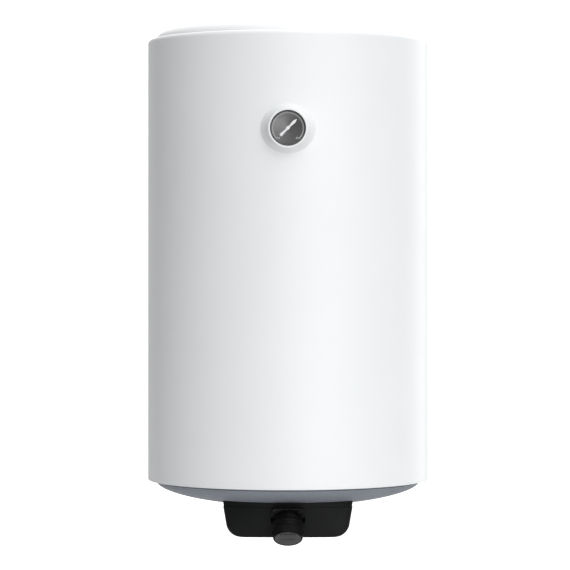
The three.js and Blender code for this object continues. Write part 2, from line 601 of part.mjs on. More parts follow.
// Sensing bulb in the flange's pocket, and its capillary down and forward to the thermostat's back.
add("thermostat_bulb", rod(POCKET.x, POCKET.y, 3.2, -520, -400), "copper");
const thermostatBack = new THREE.Vector3(8, -10, THERMOSTAT.back - 0.5).applyMatrix4(knobFrame.matrix);
const capillary = strand([
  [POCKET.x, POCKET.y, -520.4], [POCKET.x, POCKET.y, -560], [POCKET.x, POCKET.y, -588], [20, 8, -603],
  [22, -30, -607], [14, -80, -603], [8.4, thermostatBack.y + 12, thermostatBack.z + 10],
  [thermostatBack.x, thermostatBack.y, thermostatBack.z],
], 1, 5, 32);
add("thermostat_capillary", capillary, "copper");

// ---- terminal block and leads ----
const BLOCK = { x0: -91, x1: -77, y0: -30, y1: 10, low: -618, high: -602.4 };
const terminals = block(BLOCK.x0, BLOCK.x1, BLOCK.y0, BLOCK.y1, BLOCK.low, BLOCK.high);
const terminalHoles = [-24, -10, 4].map((y) => rod(-84, y, 2.2, BLOCK.low - 1, BLOCK.low + 8, 12));
add("terminal_block", wasm.Manifold.difference([terminals, ...terminalHoles]), "beige_plastic");
const leadStart = (y) => [BLOCK.x1 + 0.4, y, -610];
const leadOut = (y) => [BLOCK.x1 + 8, y, -610];
const thermostatSide = new THREE.Vector3(-THERMOSTAT.half - 0.4, -6, THERMOSTAT.back + 8)
  .applyMatrix4(knobFrame.matrix);
add("live_lead", strand([leadStart(-24), leadOut(-24), [-60, -50, -612], [-42, -90, -610],
  [-26, thermostatSide.y, thermostatSide.z], thermostatSide.toArray()], 1.3, 6, 14), "brown_wire");
add("neutral_lead", strand([leadStart(-10), leadOut(-10), [-52, -14, -611], [-34, -15, -608],
  [ELEMENT_X[0] - 1.5, ELEMENT_Y, -606.5], [ELEMENT_X[0], ELEMENT_Y, ELEMENT_END - 18.4]], 1.3, 6, 14),
"blue_plastic");
add("earth_lead", strand([leadStart(4), leadOut(4), [-50, 20, -606], [-24, 34, -598], [-4, 37, -589],
  [0, 36, FLANGE_FACE - 5.2]], 1.3, 6, 14), "green_wire");
add("earth_screw", rod(0, 36, 4, FLANGE_FACE - GAP - 3, FLANGE_FACE - GAP, 16), "brass");

// ---- dial thermometer, measured from the shell's front line ----
const LENS_T = 1.6;
const DIAL_BACK = GAUGE_STANDS - 5;
function gaugeHousing() {
  const cone = turned([
    [28.6, -6], [GAUGE_BASE_R + 6.6, -6], [GAUGE_BASE_R, 0], [GAUGE_BASE_R - 4, 5.4], [GAUGE_FRONT_R + 1.2, 13],
    [GAUGE_FRONT_R, GAUGE_STANDS - 0.8], [GAUGE_FRONT_R - 0.8, GAUGE_STANDS], [28.6, GAUGE_STANDS],
  ], true, 36);
  const skin = turned([[0, -100], [SHELL_R + GAP, -100], [SHELL_R + GAP, 100], [0, 100]]);
  return cone.subtract(skin.transform(new THREE.Matrix4()
    .copy(gaugeFrame.matrix).invert().multiply(new THREE.Matrix4().makeTranslation(0, 0, GAUGE_Z)).elements));
}
add("gauge_housing", gaugeHousing(), "white_plastic", gaugeFrame);
add("gauge_lens", rod(0, 0, 28.2, GAUGE_STANDS - 1 - LENS_T, GAUGE_STANDS - 1, 36), "glass", gaugeFrame);
add("gauge_dial", pipe(0, 0, 27.6, 1.6, DIAL_BACK - 1, DIAL_BACK, 36), "dial_grey", gaugeFrame);

// The pointer stands at 45 degrees to the upper right, a narrow leaf with a blunt tail.
const leaf = new THREE.Shape();
[[19.4, 0], [14.5, 2.3], [4, 1.3], [0, 2.4], [-4, 1.3], [-16, 2.4], [-16, -2.4], [-4, -1.3], [0, -2.4],
  [4, -1.3], [14.5, -2.3]].forEach(([x, y], i) => (i ? leaf.lineTo(x, y) : leaf.moveTo(x, y)));
leaf.closePath();
const pointer = solid(new THREE.ExtrudeGeometry(leaf, { depth: 0.6, bevelEnabled: false })
  .rotateZ(Math.PI / 4).translate(0, 0, DIAL_BACK + 0.9));
const arborHole = rod(0, 0, 0.8, DIAL_BACK, DIAL_BACK + 2, 12);
add("gauge_needle", pointer.subtract(arborHole), "needle_white", gaugeFrame);
const arbor = rod(0, 0, 0.5, DIAL_BACK - 7, DIAL_BACK + 2, 12).add(rod(0, 0, 1.5, DIAL_BACK + 1.8, DIAL_BACK + 2.3));
add("gauge_arbor", arbor, "brass", gaugeFrame);
const CASE_BACK = 1;
const gaugeCase = turned([[2.4, CASE_BACK], [22, CASE_BACK], [22, DIAL_BACK - 1 - GAP], [20.5, DIAL_BACK - 1 - GAP],
  [20.5, CASE_BACK + 1.5], [2.4, CASE_BACK + 1.5]], true, 24);
add("gauge_case", gaugeCase, "zinc", gaugeFrame);
const gaugeBulbTop = -60;
add("gauge_capillary", strand([[0, 0, CASE_BACK + 0.8], [0, 0, -4], [0, -3, -10], [0, -12, -16],
  [0, -26, -18.6], [0, gaugeBulbTop + 0.4, -19]], 0.9, 6, 20), "copper", gaugeFrame);
const upright = (x, r, from, to, depth, sides) =>
  solid(new THREE.CylinderGeometry(r, r, to - from, sides).translate(x, (from + to) / 2, depth));
add("gauge_bulb", upright(0, 2.6, gaugeBulbTop - 45, gaugeBulbTop, -19, 16), "copper", gaugeFrame);

export default heater;
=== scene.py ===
# Looks of the wall-hung water heater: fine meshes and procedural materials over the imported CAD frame.
# Lengths are in millimetres until a piece is made, unless a comment says otherwise. The front faces -Y.
import json
import math

import bmesh
import bpy
from mathutils import Matrix, Vector


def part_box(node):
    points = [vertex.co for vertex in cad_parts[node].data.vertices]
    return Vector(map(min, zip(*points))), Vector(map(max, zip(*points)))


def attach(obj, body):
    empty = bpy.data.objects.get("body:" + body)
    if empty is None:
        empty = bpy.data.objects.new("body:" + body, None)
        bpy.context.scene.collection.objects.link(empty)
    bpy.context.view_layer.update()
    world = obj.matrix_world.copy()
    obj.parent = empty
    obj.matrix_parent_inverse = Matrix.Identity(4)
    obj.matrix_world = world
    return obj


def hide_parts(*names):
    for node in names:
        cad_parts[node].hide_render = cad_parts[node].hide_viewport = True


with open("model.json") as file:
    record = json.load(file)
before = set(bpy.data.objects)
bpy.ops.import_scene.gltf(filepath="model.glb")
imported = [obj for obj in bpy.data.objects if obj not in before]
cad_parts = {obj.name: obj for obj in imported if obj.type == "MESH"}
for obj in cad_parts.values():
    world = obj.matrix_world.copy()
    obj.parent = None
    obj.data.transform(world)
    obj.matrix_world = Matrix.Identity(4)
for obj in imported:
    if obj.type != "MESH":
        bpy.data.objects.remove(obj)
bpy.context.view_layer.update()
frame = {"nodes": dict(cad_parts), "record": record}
JOINTS = {j["name"]: j for j in frame["record"]["behaviour"]["joints"]}
MM = 0.001  # a millimetre in metres


def box(node):
    """Lowest and highest corner of a CAD node in millimetres."""
    low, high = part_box(node)
    return Vector(low) * 1000, Vector(high) * 1000


shell_low, shell_high = box("outer_shell")
AXIS_Y = (shell_low.y + shell_high.y) / 2
SHELL_R = (shell_high.x - shell_low.x) / 2
SHELL_TOP, SHELL_BOTTOM = shell_high.z, shell_low.z
COVER_BOTTOM = box("control_cover")[0].z
TANK = Matrix.Translation((0, AXIS_Y, 0))

# ---- camera ----
EYE_BELOW_TOP = 357.5  # the level camera's height, below the shell's top edge
EYE_AWAY = 4385  # from the tank's axis
LENS, SENSOR = 172, 36
SHIFT_X, SHIFT_Y = -0.0051, -0.0388

cam_data = bpy.data.cameras.new("camera")
cam_data.sensor_width = SENSOR
cam_data.lens = LENS
cam_data.shift_x = SHIFT_X
cam_data.shift_y = SHIFT_Y
cam = bpy.data.objects.new("camera", cam_data)
cam.location = (0, (AXIS_Y - EYE_AWAY) * MM, (SHELL_TOP - EYE_BELOW_TOP) * MM)
cam.rotation_euler = (math.pi / 2, 0, 0)
bpy.context.collection.objects.link(cam)
bpy.context.scene.camera = cam
bpy.context.scene.view_settings.view_transform = "Standard"


# ---- node trees ----
class Tree:
    """A node tree, with short calls for the nodes used here. A value is a number, a tuple or a socket."""

    MIX_FIRST, MIX_SECOND, MIX_RESULT = 6, 7, 2  # the sockets that a Mix node uses for colours

    def __init__(self, tree):
        self.tree = tree

    def new(self, kind, **settings):
        node = self.tree.nodes.new("ShaderNode" + kind)
        for key, value in settings.items():
            setattr(node, key, value)
        return node

    def put(self, value, socket):
        if isinstance(value, bpy.types.NodeSocket):
            self.tree.links.new(value, socket)
        elif isinstance(value, tuple) and socket.type == "RGBA":
            socket.default_value = (*value, 1)
        else:
            socket.default_value = value

    def math(self, operation, *values):
        node = self.new("Math", operation=operation)
        for value, socket in zip(values, node.inputs):
            self.put(value, socket)
        return node.outputs[0]

    def vector(self, operation, *values):
        node = self.new("VectorMath", operation=operation)
        for value, socket in zip(values, node.inputs):
            self.put(value, socket)
        return node.outputs["Value" if operation in ("DOT_PRODUCT", "DISTANCE") else "Vector"]

    def split(self, vector, axis):
        node = self.new("SeparateXYZ")
        self.put(vector, node.inputs["Vector"])
        return [node.outputs[letter] for letter in axis]

    def spread(self, value, low, high, start=0.3, stop=0.7):
        """Takes start...stop to low...high, and stays there outside."""
        node = self.new("MapRange")
        node.inputs["From Min"].default_value = start
        node.inputs["From Max"].default_value = stop
        node.inputs["To Min"].default_value = low
        node.inputs["To Max"].default_value = high
        self.put(value, node.inputs["Value"])
        return node.outputs["Result"]

    def tint(self, amount, first, second, how="MIX"):
        """A mix of two colours."""
        node = self.new("Mix", data_type="RGBA", blend_type=how)
        self.put(amount, node.inputs[0])
        self.put(first, node.inputs[self.MIX_FIRST])
        self.put(second, node.inputs[self.MIX_SECOND])
        return node.outputs[self.MIX_RESULT]


class Nodes(Tree):
    """A new material's tree. Scales are per metre, and bump distances are in metres."""

    def __init__(self, name):
        self.mat = bpy.data.materials.new(name)
        self.mat.use_nodes = True
        super().__init__(self.mat.node_tree)
        self.bsdf = self.tree.nodes["Principled BSDF"]
        self.where = self.new("TexCoord").outputs["Object"]

    def set(self, **values):
        for key, value in values.items():
            self.put(value, self.bsdf.inputs[key.replace("_", " ")])

    def noise(self, scale, detail=3.0, rough=0.5, stretch=None):
        node = self.new("TexNoise")
        node.inputs["Scale"].default_value = scale
        node.inputs["Detail"].default_value = detail
        node.inputs["Roughness"].default_value = rough
        where = self.where
        if stretch:
            mapping = self.new("Mapping")
            mapping.inputs["Scale"].default_value = stretch
            self.put(where, mapping.inputs["Vector"])
            where = mapping.outputs["Vector"]
        self.put(where, node.inputs["Vector"])
        return node.outputs["Fac"]

    def voronoi(self, scale):
        node = self.new("TexVoronoi")
        node.inputs["Scale"].default_value = scale
        self.put(self.where, node.inputs["Vector"])
        return node.outputs["Distance"]

    def edges(self, low=0.52, high=0.6):
        """1 on convex edges, 0 elsewhere."""
        return self.spread(self.new("NewGeometry").outputs["Pointiness"], 0.0, 1.0, low, high)

    def bump(self, *layers):
        """Each layer is (height socket, strength, distance)."""
        normal = None
        for height, strength, distance in layers:
            node = self.new("Bump")
            node.inputs["Strength"].default_value = strength
            node.inputs["Distance"].default_value = distance
            self.put(height, node.inputs["Height"])
            if normal:
                self.put(normal, node.inputs["Normal"])
            normal = node.outputs["Normal"]
        self.set(Normal=normal)


# ---- materials ----
def shade(colour, factor):
    return tuple(min(1.0, c * factor) for c in colour)


def paint(name, colour, rough=0.3):
    """Baked enamel: a faint orange peel, a little mottling and slightly uneven gloss."""
    n = Nodes(name)
    n.set(Metallic=0.0, Coat_Weight=0.25, Coat_Roughness=0.12, IOR=1.45)
    n.set(Base_Color=n.tint(n.spread(n.noise(6, 4), 0, 1), colour, shade(colour, 0.975)))
    n.set(Roughness=n.spread(n.noise(40, 4), rough - 0.03, rough + 0.05))
    n.bump((n.noise(380, 1), 0.03, 0.00015))
    return n.mat


def moulded(name, colour, rough=0.45, grain=2600, depth=0.16, specular=0.5, wear=0.35, wave=0.02, cloud=0.07):
    """Moulded plastic: fine spark-eroded grain, cloudy gloss, edges rubbed a little lighter.

    depth is the grain's strength, wave that of slow unevenness, and cloud how far the gloss varies.
    """
    n = Nodes(name)
    n.set(Specular_IOR_Level=specular)
    rubbed = tuple(min(1.0, c * (1 + wear) + 0.01 * wear) for c in colour)
    body = n.tint(n.spread(n.noise(18, 4), 0, 1), colour, shade(colour, 0.9))
    n.set(Base_Color=n.tint(n.edges(), body, rubbed))
    n.set(Roughness=n.spread(n.noise(75, 5), rough - cloud, rough + cloud))
    n.bump((n.noise(grain, 2, 0.6), depth, 0.0002), (n.noise(14, 1), wave, 0.0008))
    return n.mat


def metal(name, colour, rough=0.35, stretch=(1, 1, 14), scale=700, streaks=0.25, tarnish=0.75):
    """Bare or plated metal with drawn or brushed streaks and duller patches."""
    n = Nodes(name)
    patches = n.spread(n.noise(60, 6, 0.65), 0, 1, 0.35, 0.75)
    n.set(Metallic=1.0, Base_Color=n.tint(patches, colour, shade(colour, tarnish)))
    n.set(Roughness=n.spread(n.noise(scale / 4, 5), rough - 0.08, rough + 0.14))
    n.bump((n.noise(scale, 3, 0.6, stretch), streaks, 0.0001), (n.noise(55, 3), 0.08, 0.0004))
    return n.mat


def spangled(name, colour):
    """Zinc-plated sheet: soft crystalline patches and fine scuffs."""
    n = Nodes(name)
    crystals = n.voronoi(240)
    n.set(Metallic=1.0, Base_Color=n.tint(n.spread(crystals, 0, 1, 0.1, 0.9), colour, shade(colour, 0.86)))
    n.set(Roughness=n.spread(n.noise(260, 4), 0.28, 0.5))
    n.bump((n.noise(900, 3, 0.6, (1, 1, 8)), 0.15, 0.0001), (crystals, 0.05, 0.0003))
    return n.mat


def rubber(name, colour):
    """Dull rubber with a dusty bloom."""
    n = Nodes(name)
    n.set(Specular_IOR_Level=0.3)
    n.set(Base_Color=n.tint(n.spread(n.noise(90, 5), 0, 1), colour, shade(colour, 1.7)))
    n.set(Roughness=n.spread(n.noise(300, 3), 0.7, 0.9))
    n.bump((n.noise(1800, 3), 0.25, 0.0002))
    return n.mat


def foamed(name, pale, dark):
    """Rigid foam with open cells and a lumpy skin."""
    n = Nodes(name)
    n.set(Roughness=0.95, Base_Color=n.tint(n.spread(n.noise(25, 6), 0, 1), pale, dark))
    n.bump((n.voronoi(700), 0.6, 0.0006), (n.noise(20, 4), 0.4, 0.003))
    return n.mat


# Painted sheen of the turned dial plate: the grey painted into its colour round its middle, a fan of light and
# dark that stands in for its reflection, as (part of a turn from -X, grey).
DIAL_PAINTED_SHEEN = [(0.0, 0.21), (0.12, 0.18), (0.3, 0.11), (0.5, 0.085), (0.62, 0.1), (0.75, 0.19), (0.88, 0.25),
            (1.0, 0.21)]


def dial_metal(name):
    """Turned dark dial plate: fine circular lines, and a painted sheen, a fan of light and dark painted into
    its colour round the middle.
    """
    n = Nodes(name)
    n.set(Metallic=1.0, Roughness=0.36, Anisotropic=0.8)
    n.set(Tangent=n.new("Tangent", direction_type="RADIAL", axis="Y").outputs[0])
    low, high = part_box("gauge_dial")
    middle = n.new("Mapping", vector_type="POINT")
    middle.inputs["Location"].default_value = (0, 0, -(low[2] + high[2]) / 2)
    n.put(n.where, middle.inputs["Vector"])
    where = middle.outputs["Vector"]
    rings = n.new("TexWave", wave_type="RINGS", rings_direction="Y", wave_profile="SIN")
    rings.inputs["Scale"].default_value = 620
    rings.inputs["Distortion"].default_value = 0.6
    rings.inputs["Detail"].default_value = 3
    n.put(where, rings.inputs["Vector"])
    line = rings.outputs["Fac"]
    # Painted sheen: a fan of light and dark, set by the angle round the middle, painted into the base colour.
    painted_sheen = n.new("ValToRGB")
    ramp = painted_sheen.color_ramp
    ramp.interpolation = "B_SPLINE"
    while len(ramp.elements) < len(DIAL_PAINTED_SHEEN):
        ramp.elements.new(0.5)
    for element, (at, grey) in zip(ramp.elements, DIAL_PAINTED_SHEEN):
        element.position = at
        element.color = (grey, grey, grey * 1.01, 1)
    turn = n.math("ARCTAN2", *n.split(where, "ZX"))
    n.put(n.spread(turn, 0, 1, -math.pi, math.pi), painted_sheen.inputs["Fac"])
    etched = n.tint(line, (1, 1, 1), (0.86, 0.86, 0.86))
    # Base colour: the painted sheen times the etched rings.
    n.set(Base_Color=n.tint(1.0, painted_sheen.outputs["Color"], etched, "MULTIPLY"))
    n.bump((line, 0.06, 0.00005))
    return n.mat


def clear_glass(name):
    """Clear window with faint unevenness, and little glare."""
    n = Nodes(name)
    n.set(Transmission_Weight=1.0, IOR=1.12, Base_Color=(1, 1, 1))
    n.set(Roughness=n.spread(n.noise(60, 3), 0.0, 0.03))
    return n.mat


MATERIALS = {
    "white_paint": (paint, dict(colour=(0.886, 0.902, 0.914), rough=0.33)),
    "white_plastic": (paint, dict(colour=(0.89, 0.903, 0.912), rough=0.38)),
    "grey_plastic": (moulded, dict(colour=(0.27, 0.29, 0.328), rough=0.55, grain=2200, depth=0.12,
                                   specular=0.12, wear=0.2)),
    "black_plastic": (moulded, dict(colour=(0.0082, 0.0092, 0.0087), rough=0.52, grain=1900, depth=0.2,
                                    specular=0.14, wear=0.9, wave=0.0, cloud=0.03)),
    "knob_black": (moulded, dict(colour=(0.0028, 0.0028, 0.0034), rough=0.4, depth=0.1, specular=0.1,
                                 wear=1.2)),
    "knob_grey": (moulded, dict(colour=(0.062, 0.063, 0.065), rough=0.42, grain=2400, depth=0.1, specular=0.3,
                                wear=0.3)),
    "knob_pad": (moulded, dict(colour=(0.046, 0.045, 0.047), rough=0.42, grain=2400, depth=0.1, specular=0.3,
                               wear=0.8)),
    "tank_enamel": (paint, dict(colour=(0.02, 0.07, 0.12), rough=0.2)),
    "foam": (foamed, dict(pale=(0.79, 0.66, 0.33), dark=(0.62, 0.47, 0.2))),
    "steel": (metal, dict(colour=(0.5, 0.51, 0.53))),
    "zinc": (spangled, dict(colour=(0.62, 0.63, 0.61))),
    "brass": (metal, dict(colour=(0.62, 0.43, 0.14), rough=0.3)),
    "copper": (metal, dict(colour=(0.72, 0.32, 0.17), rough=0.28, stretch=(1, 1, 6), tarnish=0.55)),
    "magnesium": (metal, dict(colour=(0.42, 0.43, 0.44), rough=0.6, stretch=(1, 1, 2), scale=300,
                              streaks=0.5)),
    "rubber": (rubber, dict(colour=(0.012, 0.012, 0.012))),
    "blue_plastic": (moulded, dict(colour=(0.02, 0.1, 0.42), rough=0.4)),
    "red_plastic": (moulded, dict(colour=(0.5, 0.025, 0.02), rough=0.4)),
    "beige_plastic": (moulded, dict(colour=(0.74, 0.7, 0.58))),
    "ceramic": (moulded, dict(colour=(0.85, 0.83, 0.76), rough=0.6, grain=900, depth=0.25, wear=0.0)),
    "dial_grey": (dial_metal, {}),
    "needle_white": (paint, dict(colour=(1.0, 1.0, 1.0), rough=0.4)),
    "glass": (clear_glass, {}),
    "brown_wire": (moulded, dict(colour=(0.13, 0.04, 0.015), rough=0.35)),
    "green_wire": (moulded, dict(colour=(0.2, 0.36, 0.03), rough=0.35)),
    "dark_plastic": (moulded, dict(colour=(0.055, 0.055, 0.057), grain=2400, depth=0.1, specular=0.4,
                                   wear=0.3)),
    "scale_print": (moulded, dict(colour=(0.6, 0.6, 0.6), rough=0.5, grain=4000, depth=0.05, wear=0.0)),
    "scale_band": (moulded, dict(colour=(0.3, 0.3, 0.3), rough=0.5, grain=4000, depth=0.05, wear=0.0)),
}
MAT = {name: make(name, **settings) for name, (make, settings) in MATERIALS.items()}

SLOT_OF = {s["node"]: s["material_slot"] for s in frame["record"]["subparts"]}
for node, obj in frame["nodes"].items():
    obj.data.materials.clear()
    obj.data.materials.append(MAT[SLOT_OF[node]])


# ---- outlines ----
def fillet(points, steps=4):
    """Rounds a polyline's corners: each point is (r, z) or (r, z, radius)."""
    out = []
    for i, p in enumerate(points):
        here = Vector(p[:2])
        if len(p) < 3 or i in (0, len(points) - 1):
            out.append(here)
            continue
        back = Vector(points[i - 1][:2]) - here
        on = Vector(points[i + 1][:2]) - here
        reach = min(p[2], back.length * 0.49, on.length * 0.49)
        start, stop = here + back.normalized() * reach, here + on.normalized() * reach
        for k in range(steps + 1):
            t = k / steps
            out.append(start * (1 - t) ** 2 + here * 2 * t * (1 - t) + stop * t**2)
    return [(v.x, v.y) for v in out]


def arc(cx, cy, r, start, stop, steps):
    """Points on a circle from one angle to another, in degrees."""
    angles = (math.radians(start + (stop - start) * i / steps) for i in range(steps + 1))
    return [(cx + r * math.cos(a), cy + r * math.sin(a)) for a in angles]


def circle(r, count):
    angles = (2 * math.pi * i / count for i in range(count))
    return [(r * math.cos(a), r * math.sin(a)) for a in angles]


def rounded(half_x, half_y, r, steps=6):
    """A rounded rectangle's outline."""
    x, y = half_x - r, half_y - r
    corners = ((x, y, 0), (-x, y, 90), (-x, -y, 180), (x, -y, 270))
    return [p for cx, cy, start in corners for p in arc(cx, cy, r, start, start + 90, steps)]


# ---- meshes ----
def lathe(profile, around=96, wobble=None):
    """bmesh turned round +Z. wobble(angle, r, z) gives a changed radius.

    A profile that ends off the axis is closed from its last point to its first.
    """
    bm = bmesh.new()
    on_axis = [abs(r) < 1e-6 for r, _ in profile]
    rings = []
    for (r, z), axis in zip(profile, on_axis):
        if axis:
            rings.append([bm.verts.new((0, 0, z))] * around)
            continue
        ring = []
        for i in range(around):
            a = 2 * math.pi * i / around
            q = wobble(a, r, z) if wobble else r
            ring.append(bm.verts.new((q * math.cos(a), q * math.sin(a), z)))
        rings.append(ring)
    pairs = list(zip(rings, rings[1:]))
    if not (on_axis[0] and on_axis[-1]):
        pairs.append((rings[-1], rings[0]))
    for low, high in pairs:
        for i in range(around):
            j = (i + 1) % around
            corners = []
            for v in (low[i], low[j], high[j], high[i]):
                if v not in corners:
                    corners.append(v)
            if len(corners) > 2:
                bm.faces.new(corners)
    bmesh.ops.recalc_face_normals(bm, faces=bm.faces)
    return bm


def stack(rings):
    """Closed bmesh through rings with the same number of points."""
    bm = bmesh.new()
    made = [[bm.verts.new(p) for p in ring] for ring in rings]
    count = len(rings[0])
    for low, high in zip(made, made[1:]):
        for i in range(count):
            j = (i + 1) % count
            bm.faces.new((low[i], low[j], high[j], high[i]))
    bm.faces.new(list(reversed(made[0])))
    bm.faces.new(made[-1])
    bmesh.ops.recalc_face_normals(bm, faces=bm.faces)
    return bm


def soften(bm, width, segments=3, angle=30):
    """Rounds the edges that are sharper than an angle in degrees."""
    edges = [e for e in bm.edges if e.is_manifold and e.calc_face_angle(0) > math.radians(angle)]
    bmesh.ops.bevel(bm, geom=edges, offset=width, segments=segments, profile=0.5, affect="EDGES",
                    clamp_overlap=True)


def prism(outline, low, high, bevel=0.0, segments=3):
    """An outline in X and Y pulled along Z, with rounded edges."""
    bm = stack([[(x, y, low) for x, y in outline], [(x, y, high) for x, y in outline]])
    if bevel:
        soften(bm, bevel, segments)
    return bm


def brick(x0, x1, y0, y1, z0, z1):
    return prism([(x0, y0), (x1, y0), (x1, y1), (x0, y1)], z0, z1)


def ring_strip(inner, outer, start, stop, low, high, steps=90):
    """Part of a flat ring between two angles in degrees."""
    outside = arc(0, 0, outer, start, stop, steps)
    inside = arc(0, 0, inner, start, stop, steps)
    return prism(outside + list(reversed(inside)), low, high)


def moved(bm, matrix):
    bmesh.ops.transform(bm, matrix=matrix, verts=bm.verts)
    return bm


def joined(*meshes):
    bm = bmesh.new()
    for part in meshes:
        data = bpy.data.meshes.new("part")
        part.to_mesh(data)
        part.free()
        bm.from_mesh(data)
        bpy.data.meshes.remove(data)
    return bm


def metres(matrix):
    """The same move for a mesh that is already in metres."""
    out = matrix.copy()
    out.translation *= MM
    return out


# ---- pieces ----
def loose(name, bm):
    """A bare object from a bmesh, in metres."""
    moved(bm, Matrix.Scale(MM, 4))
    data = bpy.data.meshes.new(name)
    bm.to_mesh(data)
    bm.free()
    obj = bpy.data.objects.new(name, data)
    bpy.context.collection.objects.link(obj)
    return obj


def evaluated(obj):
    return bpy.data.meshes.new_from_object(obj.evaluated_get(bpy.context.evaluated_depsgraph_get()))


def combine(obj, tool, how="DIFFERENCE"):
    """Cuts obj with a bmesh tool, or joins the two, and clears away faces with no area."""
    other = loose("tool", tool)
    step = obj.modifiers.new("cut", "BOOLEAN")
    step.operation = how
    step.solver = "EXACT"
    step.object = other
    data = evaluated(obj)
    obj.modifiers.clear()
    obj.data = data
    bpy.data.objects.remove(other)
    bm = bmesh.new()
    bm.from_mesh(data)
    bmesh.ops.dissolve_degenerate(bm, dist=2e-7, edges=bm.edges)
    bm.to_mesh(data)
    bm.free()


def dress(obj, material, body="heater", nodes=(), sharp=32):
    """Gives a piece its material, smooth shading, body and slot, and hides the CAD nodes that it stands for."""
    data = obj.data
    data.materials.clear()
    data.materials.append(MAT[material])
    for face in data.polygons:
        face.use_smooth = True
        face.material_index = 0
    data.set_sharp_from_angle(angle=math.radians(sharp))
    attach(obj, body)
    if nodes:
        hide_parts(*nodes)
    return obj


def piece(name, bm, material, body="heater", nodes=(), sharp=32):
    return dress(loose(name, bm), material, body, nodes, sharp)


# ---- hanger and spacers ----
HANGER_HALF, HANGER_T, HANGER_TALL = 135.0, 3.0, 50
HANGER_LEG = -80.0  # how far the legs reach from the wall, into the shell
HOOK_X = 98  # the keyholes stand this far from the middle
KEYHOLE_R, KEYHOLE_Z = 9, -8  # the wide part, which passes a hook's head
NECK_R, NECK_Z = 5.5, 10  # the top of the neck, which holds its shank
BEAD_R, BEAD_HALF, BEAD_Z = 1.8, 58, 17.5


def keyhole(x):
    """A hook's keyhole in X and Z, drawn in X and Y: a round part below and a neck above."""
    open_half = 52.3  # degrees between the level and where the neck leaves the round part
    points = arc(x, KEYHOLE_Z, KEYHOLE_R, 180 - open_half, 360 + open_half, 40)
    return points + arc(x, NECK_Z, NECK_R, 0, 180, 20)


def make_hanger():
    half, t, leg = HANGER_HALF, HANGER_T, HANGER_LEG
    outer = fillet([(-half, leg), (-half, 0, 5.5), (half, 0, 5.5), (half, leg)], 8)
    inner = fillet([(-half + t, leg), (-half + t, -t, 3), (half - t, -t, 3), (half - t, leg)], 8)
    strip = prism(outer + list(reversed(inner)), -HANGER_TALL / 2, HANGER_TALL / 2, 0.35, 2)
    plate = loose("hanger_plate", strip)
    for side in (-1, 1):
        hole = prism(keyhole(side * HOOK_X), -10, 10)
        combine(plate, moved(hole, Matrix.Rotation(math.pi / 2, 4, "X")))
    # Two pressed stiffening beads along the plate, raised on the side of the shell.
    for z in (-BEAD_Z, BEAD_Z):
        bead = lathe(fillet([(0, -BEAD_HALF), (BEAD_R, -BEAD_HALF, 1.6), (BEAD_R, BEAD_HALF, 1.6),
                             (0, BEAD_HALF)], 6), 24)
        place = Matrix.Translation((0, -t, z)) @ Matrix.Rotation(math.pi / 2, 4, "Y")
        combine(plate, moved(bead, place), "UNION")
    dress(plate, "zinc", nodes=["hanger_bracket"])


def make_spacers():
    for word in ("left", "right"):
        low, high = box(f"wall_spacer_{word}")
        x, z = (low.x + high.x) / 2, (low.z + high.z) / 2
        foot = fillet([(0, 0), (14, 0, 1.2), (14.4, -9, 0.4), (13.6, -10, 0.4), (14.6, -11, 0.4),
                       (15.2, -29, 0.5), (0, -29)], 5)
        place = Matrix.Translation((x, 0, z)) @ Matrix.Rotation(-math.pi / 2, 4, "X")
        piece(f"spacer_foot_{word}", moved(lathe(foot, 64), place), "rubber", nodes=[f"wall_spacer_{word}"])


# ---- shell ----
CAP_R = 212.0  # radius at which a cap comes out of the shell's rolled edge
CAP_SHOULDER, CAP_POWER = 27.6, 2.36  # height of a cap's round shoulder, and its superellipse's exponent
CAP_SAG = 12.0  # crown of a cap's middle above its shoulder
CAP_T = 2.2
BRIM_R, BRIM_T, BRIM_GAP = 217, 2, 1.02  # the flat brim inside the shell's edge
PORT_R, OPENING_R = 12, 76  # holes for the pipes, and for the parts under the cover
PIPE_X, PIPE_Y = 50, -132
SHEET_T = 0.8
LEG_GAP = 0.8  # between the hanger's legs and their slots in the shell
EDGE_R, ROLL_R = 1.1, 6.8  # the shell's lower and upper edges are rolled in on these radii


def make_shell():
    lip = CAP_R + 0.6
    low, top = SHELL_BOTTOM, SHELL_TOP
    outer = [
        (lip, low + 1.0), (lip, low + 0.2), (lip + 0.3, low),
        *arc(SHELL_R - EDGE_R, low + EDGE_R, EDGE_R, -90, 0, 5),
        (SHELL_R, low + 6), (SHELL_R, (low + top) / 2), (SHELL_R, top - ROLL_R - 4),
        *arc(SHELL_R - ROLL_R, top - ROLL_R, ROLL_R, 0, 90, 12),
        (lip + 0.3, top), (lip, top - 0.2), (lip, top - 1.0),
        (SHELL_R - SHEET_T - 6, top - 1.0), (SHELL_R - SHEET_T, top - 9),
        (SHELL_R - SHEET_T, low + 5), (SHELL_R - 5, low + 1.0),
    ]
    shell = loose("shell_skin", moved(lathe(outer, 256), TANK))
    near, far = HANGER_HALF - HANGER_T - LEG_GAP, HANGER_HALF + LEG_GAP
    tall = HANGER_TALL / 2 + LEG_GAP
    for side in (-1, 1):
        combine(shell, brick(*sorted((side * near, side * far)), -110, -30, -tall, tall))
    dress(shell, "white_paint", nodes=["outer_shell"], sharp=40)
    # The folded seam where the rolled sheet's ends are locked together, down the back.
    back = AXIS_Y + SHELL_R
    outline = [(-7, -3), (-7, 0.2), (-6.4, 0.9), (5.6, 0.9), (6.4, 0.55), (7.2, 0.1), (7.2, -3)]
    levels = [(low + 2.5, 2.0), (low + 4, 0.0), (top - 8.5, 0.0), (top - 6.5, 2.0)]
    seam = [[(x, back + y - sink, z) for x, y in outline] for z, sink in levels]
    piece("shell_seam", stack(seam), "white_paint", sharp=25)


def cap_drop(r):
    """How far a cap's outside stands out from the shell's edge at radius r."""
    x = min(1.0, r / CAP_R)
    return CAP_SHOULDER * (1 - x**CAP_POWER) ** (1 / CAP_POWER) + CAP_SAG * (1 - x * x)


